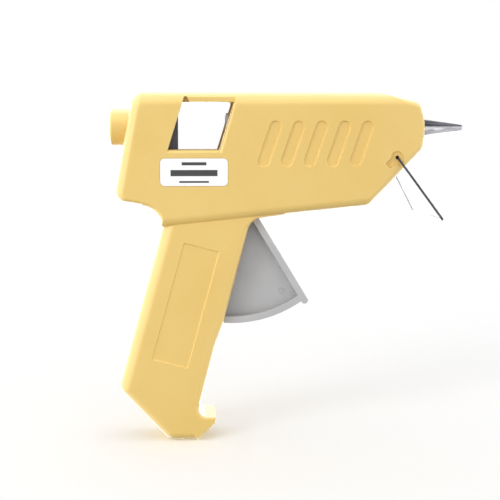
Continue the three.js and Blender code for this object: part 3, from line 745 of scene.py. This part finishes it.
def makeHousing():
    shell = combine(outerHousing(), [innerRoom()])
    print("housing shell")
    proud, bore = inlet["proud"], inlet["bore"]
    cutters = [
        alongX(collar["seat"], 0, collar["seatEnd"]),
        alongX(body["nozzleHole"], 150, 162),
        alongInlet([(-3, 0), (-3, bore + 0.5), (-proud - 0.02, bore + 0.5), (-proud + 0.15, bore + 0.15),
                    (-proud + 0.5, bore), (8, bore), (8, 0)]),
        triggerRoom(),
        pocketCutter(labelCorners, -1, body["half"], labelHollow, 12),
    ]
    for place in screwPlaces:
        cutters.append(crossPin(place, screw["hole"], *screw["holeEnds"], 24))
        cutters.append(crossPin(place, screw["headHole"], screw["headHoleFrom"], 20))
    combine(shell, cutters + faceCutters(-1) + faceCutters(1))
    halves = {"right": shell, "left": duplicate(shell)}
    for name, (near, far) in zip(halves, bothSides(body["partingGap"], beyond["high"][1])):
        lowX, _, lowZ = beyond["low"]
        highX, _, highZ = beyond["high"]
        combine(halves[name], [block((lowX, near, lowZ), (highX, far, highZ))], "INTERSECT")
        finishPiece(halves[name], f"housing_half_{name}", "housing", "yellow_plastic", [f"housing_{name}"])


makeHousing()
print("housing halves")


def makeCollar():
    bore, outer, length = collar["bore"], collar["outer"], collar["length"]
    flange, end = collar["flange"], collar["end"]
    profile = [(0.9, bore), (0.5, bore + 0.05), (0.15, bore + 0.25), (0, bore + 0.6), (0, outer - 1),
               (0.1, outer - 0.6), (0.35, outer - 0.25), (0.7, outer - 0.07), (1.2, outer),
               (length, outer), (length, flange - 0.2), (length + 0.2, flange), (end, flange), (end, bore)]
    finishPiece(turned(profile, steps=96), "stick_collar_ring", "housing", "yellow_plastic",
                ["stick_collar"])


makeCollar()


# an arc of the trigger's rim at a radius, from its rear end to its front end
def rimArc(radius, steps):
    first, last = trigger["rimSweep"]
    return [around(pivot, first + (last - first) * k / steps, radius) for k in range(steps + 1)]


def makeTrigger():
    half, edge, face = trigger["half"], trigger["edge"], trigger["webHalf"]
    outer, inner, tip = trigger["barOuter"], trigger["barInner"], trigger["barTip"]
    radius, hub = trigger["rimRadius"], trigger["hub"]

    def softSlab(corners, steps):
        return filletSlab(corners, [edge] * len(corners), half, steps, 3)

    bar = softSlab([(*barPoint(inner, 0), 0.6), (*barPoint(outer, 4), 2), (*barPoint(outer, tip), 1.6),
                    (*barPoint(inner, tip), 1.6)], 10)
    rim = softSlab(rimArc(radius, 40) + rimArc(radius - trigger["rimThickness"], 40)[::-1], 6)
    behindBar = [barPoint(inner + 1, 40), barPoint(inner + 1, 4)]
    web = plainSlab([pivot] + rimArc(radius - 1, 30) + behindBar, -face, face)
    boss = turnedAcross([(-half, 0), (-half, hub - 0.4), (-half + 0.4, hub), (half - 0.4, hub),
                         (half, hub - 0.4), (half, 0)], pivot)
    drive = around(pivot, trigger["driveAngle"], trigger["driveReach"])
    arm = plainSlab([(*around(pivot, 90, 4), 1), (*around(drive, 125, 5), 2.5),
                     (*around(drive, 210, 4.6), 2.5), (*around(pivot, 270, 4), 1)],
                    -trigger["armHalf"], trigger["armHalf"])
    piece = combine(bar, [rim, web, boss, arm], "UNION")
    marks = []
    for side in (-1, 1):
        groove = [(face - 0.25, 1.1), (face - 0.25, 1.5), (face + 1, 1.6), (face + 1, 1.0)]
        marks.append(turnedAcross([(side * y, wide) for y, wide in groove], trigger["roundMark"], 40))
    marks.append(crossPin(trigger["rimMark"], 0.35, -half - 1, -half + 0.6, 16))
    bores = [crossPin(pivot, trigger["bore"], -20, 20), crossPin(drive, trigger["driveBore"], -20, 20)]
    combine(piece, bores + marks)
    finishPiece(piece, "trigger_lever", "trigger", "grey_plastic", ["trigger"])


makeTrigger()
print("trigger")

# Hot end, stand and small parts
nozzle = dict(rear=142.4, rearBore=1.7, neck=2.7, flangeRear=148.1, flangeFront=152.2, flange=6,
              coneStart=157.5, coneRadius=4.15, tipRadius=1.5, tipRound=0.7, tipBore=0.7,
              boreWidens=(162, 1.5), ripple=0.02, rings=25)


def makeNozzle():
    rear, neck, flange, bore = nozzle["rear"], nozzle["neck"], nozzle["flange"], nozzle["tipBore"]
    back, front = nozzle["flangeRear"], nozzle["flangeFront"]
    start, wide, tip = nozzle["coneStart"], nozzle["coneRadius"], nozzle["tipRadius"]
    end = gunLength - nozzle["tipRound"]
    profile = [(rear, nozzle["rearBore"]), (rear, neck - 0.3), (rear + 0.3, neck), (back, neck),
               (back, flange - 0.3), (back + 0.3, flange), (front - 0.3, flange), (front, flange - 0.3),
               (front, wide + 0.65), (front + 0.3, wide + 0.45), (start, wide)]
    for k in range(1, nozzle["rings"]):
        t = k / nozzle["rings"]
        ripple = nozzle["ripple"] if k % 2 else -nozzle["ripple"]
        profile.append((start + (end - start) * t, wide + (tip - wide) * t + ripple))
    profile += [(end, tip), (end + 0.5, tip - 0.15), (gunLength, tip - 0.35), (gunLength, bore + 0.1),
                (gunLength - 0.4, bore), (gunLength - 4, bore), nozzle["boreWidens"]]
    finishPiece(turned(profile, steps=96), "nozzle_tip", "housing", "nozzle_aluminium", ["nozzle"])


makeNozzle()

sleeve = dict(rear=57.2, front=79.2, bore=6.1, narrow=7.2, wide=8.2, shoulder=63, stop=70)


def makeSleeve():
    rear, front, shoulder, stop = sleeve["rear"], sleeve["front"], sleeve["shoulder"], sleeve["stop"]
    bore, narrow, wide = sleeve["bore"], sleeve["narrow"], sleeve["wide"]
    profile = [(rear, bore + 0.6), (rear + 0.2, bore + 0.3), (rear + 0.6, bore + 0.1),
               (rear + 1.1, bore), (stop, bore), (stop + 0.1, narrow), (front, narrow), (front, wide),
               (shoulder, wide), (shoulder - 0.4, wide - 0.1), (shoulder - 0.8, narrow + 0.1),
               (shoulder - 1.2, narrow), (rear + 0.4, narrow), (rear + 0.1, narrow - 0.1),
               (rear, narrow - 0.3)]
    finishPiece(turned(profile, steps=96), "feed_sleeve_soft", "housing", "silicone", ["feed_sleeve"])


makeSleeve()


def makeStand():
    (x, z), (footX, footZ) = stand["pivot"], stand["foot"]
    right = [(x, -stand["inner"], z), (x, -stand["shoulder"], z), (footX, -stand["halfWidth"], footZ)]
    left = [(cornerX, -y, cornerZ) for cornerX, y, cornerZ in reversed(right)]
    line = bentLine(right + left, stand["bend"], 14)
    finishPiece(tubeAlong(line, stand["wire"], 24), "stand_wire_bent", "stand", "stand_wire",
                ["wire_stand"], 60)


makeStand()

spring = dict(start=11.2, end=21.6, height=-17, radius=2.6, turns=8, turnSteps=28, wire=0.4)


def makeSpring():
    start, end, height, radius = spring["start"], spring["end"], spring["height"], spring["radius"]
    count = spring["turns"] * spring["turnSteps"]
    points = []
    for k in range(count + 1):
        angle = 2 * math.pi * spring["turns"] * k / count
        points.append((start + (end - start) * k / count, radius * math.cos(angle),
                       height + radius * math.sin(angle)))
    piece = finishPiece(tubeAlong(points, spring["wire"], 12), "return_spring_coil", None,
                        "spring_steel", ["return_spring"], 60)
    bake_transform(piece, "housing", "carriage", toFrame @ Vector((start, 0, height)),
             toFrame @ Vector((end, 0, height)))


makeSpring()

# each lead starts at its own electrode's tab and runs down its own side of the trigger
lead = dict(radius=0.9, bend=3.5, tabs={"right": (-1, -15.65), "left": (1, -12.25)}, tabPlace=(94.4, 3),
            route=[(88, 3.4, -19.5), (78, 9.8, -25.5), (58, 10.2, -26), (44, 10.1, -38), (40, 9.9, -62),
                   (37.4, 9.8, -96), (32.6, 7.6, -114.5)])


def makeLeads():
    for name, (side, tab) in lead["tabs"].items():
        route = [(*lead["tabPlace"], tab)] + lead["route"]
        line = bentLine([(x, y * side, z) for x, y, z in route], lead["bend"], 8)
        finishPiece(tubeAlong(line, lead["radius"], 16), f"lead_{name}_sleeved", "housing",
                    "lead_sleeve", [f"lead_{name}"], 60)


makeLeads()


def makeScrews():
    tip, shaft, seat, wide, top = [screw[key] for key in ("tip", "shaft", "seat", "head", "top")]
    profile = [(tip, 0), (tip, shaft - 0.4), (tip + 0.8, shaft), (seat, shaft + 0.05), (seat, wide - 0.2),
               (seat - 0.3, wide), (seat + 0.7, wide), (top - 0.4, wide - 0.3), (top - 0.1, wide - 0.9),
               (top, 0)]
    long, thin = screw["crossHalf"]
    for number, place in enumerate(screwPlaces, 1):
        head = turnedAcross(profile, place, 40)
        cross = []
        for quarter in (0, 90):
            bar = block((-long, screw["crossFrom"], -thin), (long, top + 0.7, thin))
            spin = Matrix.Rotation(math.radians(screw["turnEach"] * number + quarter), 4, "Y")
            bar.data.transform(Matrix.Translation((place[0], 0, place[1])) @ spin)
            cross.append(bar)
        combine(head, cross)
        finishPiece(head, f"screw_{number}", "housing", "screw_steel", [f"housing_screw_{number}"])


makeScrews()
print("hot end, stand and screws")

# CAD solids whose shape is kept, with their edges broken: finish, and edge width in mm
keptShapes = {
    "carriage": ("dark_plastic", 0.3),
    "gripper_jaw": ("spring_steel", 0.1),
    "melt_chamber": ("cast_aluminium", 0.25),
    "sleeve_clip": ("spring_steel", 0.12),
    "heater_insulation": ("insulating_film", 0.08),
    "electrode_upper": ("electrode_brass", 0.06),
    "ptc_heater": ("heater_ceramic", 0.15),
    "electrode_lower": ("electrode_brass", 0.06),
    "heater_clip": ("spring_steel", 0.1),
    "jaw_pin": ("pin_steel", 0.15),
    "trigger_pin": ("pin_steel", 0.2),
    "drive_pin": ("pin_steel", 0.2),
    "splice_cap_right": ("white_nylon", 0.35),
    "splice_cap_left": ("white_nylon", 0.35),
    "cord_clamp": ("white_nylon", 0.35),
    "clamp_screw_1": ("screw_steel", 0.2),
    "clamp_screw_2": ("screw_steel", 0.2),
}


def keepShape(node, finish, edge):
    mesh = bmesh.new()
    mesh.from_mesh(frame["nodes"][node].data)
    mesh.transform(toFrame.inverted())
    bmesh.ops.remove_doubles(mesh, verts=mesh.verts, dist=welds["cadCopy"])
    bmesh.ops.dissolve_limit(mesh, angle_limit=math.radians(1), verts=mesh.verts, edges=mesh.edges)
    piece = newPiece(node + "_fine", mesh)
    modifier = piece.modifiers.new("edges", "BEVEL")
    modifier.width = edge
    modifier.segments = 2
    modifier.limit_method = "ANGLE"
    modifier.angle_limit = math.radians(35)
    settle(piece)
    finishPiece(piece, node + "_fine", body_of(frame["nodes"][node])[0], finish, [node])


for node, (finish, edge) in keptShapes.items():
    keepShape(node, finish, edge)
print("inner parts")


# white paper with plain dark bars in place of wording
def labelPaper():
    made, shade, shader, place = newMaterial("label_paper")
    x = shade.make("ShaderNodeSeparateXYZ", {}, {0: place}, 0)
    z = shade.make("ShaderNodeSeparateXYZ", {}, {0: place}, 2)
    middle = toFrame @ Vector(((label["rear"] + label["front"]) / 2, 0, (label["top"] + label["low"]) / 2))
    blur = label["blur"] / 1000

    # height of the bar's middle over the label's, and its half sizes, in mm: 1 inside, 0 outside
    def bar(up, halfWide, halfHigh):
        wide, high = halfWide / 1000, halfHigh / 1000
        inWide = shade.math("ABSOLUTE", x - middle.x).span(wide - blur, wide + blur, 1, 0)
        inHigh = shade.math("ABSOLUTE", z - (middle.z + up / 1000)).span(high - blur, high + blur, 1, 0)
        return inWide * inHigh

    bars = [bar(*values) for values in label["bars"]]
    ink = sum(bars[1:], bars[0])
    fibre = noise(shade, place, 900, 4)
    paper = fibre.span(0.3, 0.7, 0, 1).blend(linear(250, 250, 249), linear(255, 255, 255))
    colour = shade.math("MINIMUM", ink, 1).blend(paper, linear(52, 52, 54))
    rough = fibre.span(0.3, 0.7, 0.34, 0.46)
    relief = shade.make("ShaderNodeBump", {}, {"Strength": 0.4, "Distance": 0.00001, "Height": fibre})
    joinShader(shader, colour, rough, relief)
    return made


def makeLabel():
    materials["label_paper"] = labelPaper()
    face, gap = label["face"], label["gap"]
    rings = []
    edges = ((label["back"], gap), (face + 0.08, gap), (face + 0.02, gap + 0.06), (face, gap + 0.16))
    for y, inset in edges:
        rings.append((y, outlinePoints(labelCorners, [inset] * 4, 12)))
    finishPiece(loft(rings), "label_plate", "housing", "label_paper", ["label"])


makeLabel()

# Floor, light and camera. Their sizes and places are in metres.
ground = dict(half=6, drop=0.0004, tone=0.95, roughness=0.9)


def makeFloor():
    mesh = bmesh.new()
    bmesh.ops.create_grid(mesh, x_segments=8, y_segments=8, size=ground["half"])
    mesh.transform(Matrix.Translation((0, 0, -ground["drop"])))
    floor = newPiece("floor", mesh)
    made = bpy.data.materials.new("floor")
    made.use_nodes = True
    shader = made.node_tree.nodes["Principled BSDF"]
    shader.inputs["Base Color"].default_value = (ground["tone"], ground["tone"], ground["tone"], 1)
    shader.inputs["Roughness"].default_value = ground["roughness"]
    floor.data.materials.append(made)
    floor.visible_diffuse = False  # the gun takes its light and sheen from the studio alone
    floor.visible_glossy = False


makeFloor()

middle = sum(cadBounds, Vector()) / 2
lightRig = {
    "sky": dict(base=1.06, right=1, left=0.75, top=0.75, below=0.55),
    "panels": dict(behind=5.5, left=4, right=1.5, top=3.5),
    "key": dict(place=(-0.85, -0.8, 0.5), size=0.5, power=3.8),
}


# A white studio: soft light all round, scaled down on some sides, and bright panels above, behind
# and to both sides that only show as sheen. To the eye it is plain white.
def makeSky():
    world = bpy.data.worlds.new("studio")
    bpy.context.scene.world = world
    world.use_nodes = True
    sky, panels = lightRig["sky"], lightRig["panels"]
    tree = world.node_tree
    shade = Shade(tree)
    direction = shade.make("ShaderNodeTexCoord", {}, {}, 0)
    x, y, z = [shade.make("ShaderNodeSeparateXYZ", {}, {0: direction}, axis) for axis in range(3)]
    fromLeft, fromRight = x.span(-0.8, -0.2, 1, 0), x.span(0.2, 0.8, 0, 1)
    fromTop, fromBelow = z.span(0.35, 0.85, 0, 1), z.span(-0.7, -0.2, 1, 0)
    glow = sky["base"] * (1 - fromBelow * (1 - sky["below"])) * (1 - fromTop * (1 - sky["top"]))
    glow = glow * (1 - fromLeft * (1 - sky["left"])) * (1 - fromRight * (1 - sky["right"]))
    behind = y.span(0.6, 0.95, 0, 1) * z.span(0.08, 0.2, 1, 0.1)
    sheen = behind * panels["behind"] + fromTop * panels["top"]
    sheen = sheen + fromLeft * panels["left"] + fromRight * panels["right"]
    seen = shade.make("ShaderNodeLightPath", {}, {}, 0)
    glossy = shade.make("ShaderNodeLightPath", {}, {}, 3)
    strength = seen + (1 - seen) * (glow + glossy * sheen)
    background = tree.nodes["Background"]
    background.inputs["Color"].default_value = (1, 1, 1, 1)
    tree.links.new(strength.socket, background.inputs["Strength"])


def makeKeyLight():
    key = lightRig["key"]
    lamp = bpy.data.lights.new("key", "AREA")
    lamp.energy = key["power"]
    lamp.size = key["size"]
    holder = bpy.data.objects.new("key", lamp)
    holder.location = middle + Vector(key["place"])
    holder.rotation_euler = (middle - holder.location).to_track_quat("-Z", "Y").to_euler()
    bpy.context.scene.collection.objects.link(holder)


makeSky()
makeKeyLight()

# place in the gun's millimetres, yaw and pitch in degrees
view = dict(place=(29.99, -572, -5.73), yaw=3.946, pitch=5.561, lens=82.08, sensor=36, nearest=0.01)


def makeCamera():
    camera = bpy.data.cameras.new("camera")
    camera.lens = view["lens"]
    camera.sensor_width = view["sensor"]
    camera.clip_start = view["nearest"]
    holder = bpy.data.objects.new("camera", camera)
    holder.location = toFrame @ Vector(view["place"])
    yaw, pitch = math.radians(view["yaw"]), math.radians(view["pitch"])
    facing = Vector((math.sin(yaw) * math.cos(pitch), math.cos(yaw) * math.cos(pitch), -math.sin(pitch)))
    holder.rotation_euler = facing.to_track_quat("-Z", "Y").to_euler()
    bpy.context.scene.collection.objects.link(holder)
    bpy.context.scene.camera = holder


makeCamera()
bpy.context.scene.view_settings.view_transform = "Standard"
print("floor, light and camera")
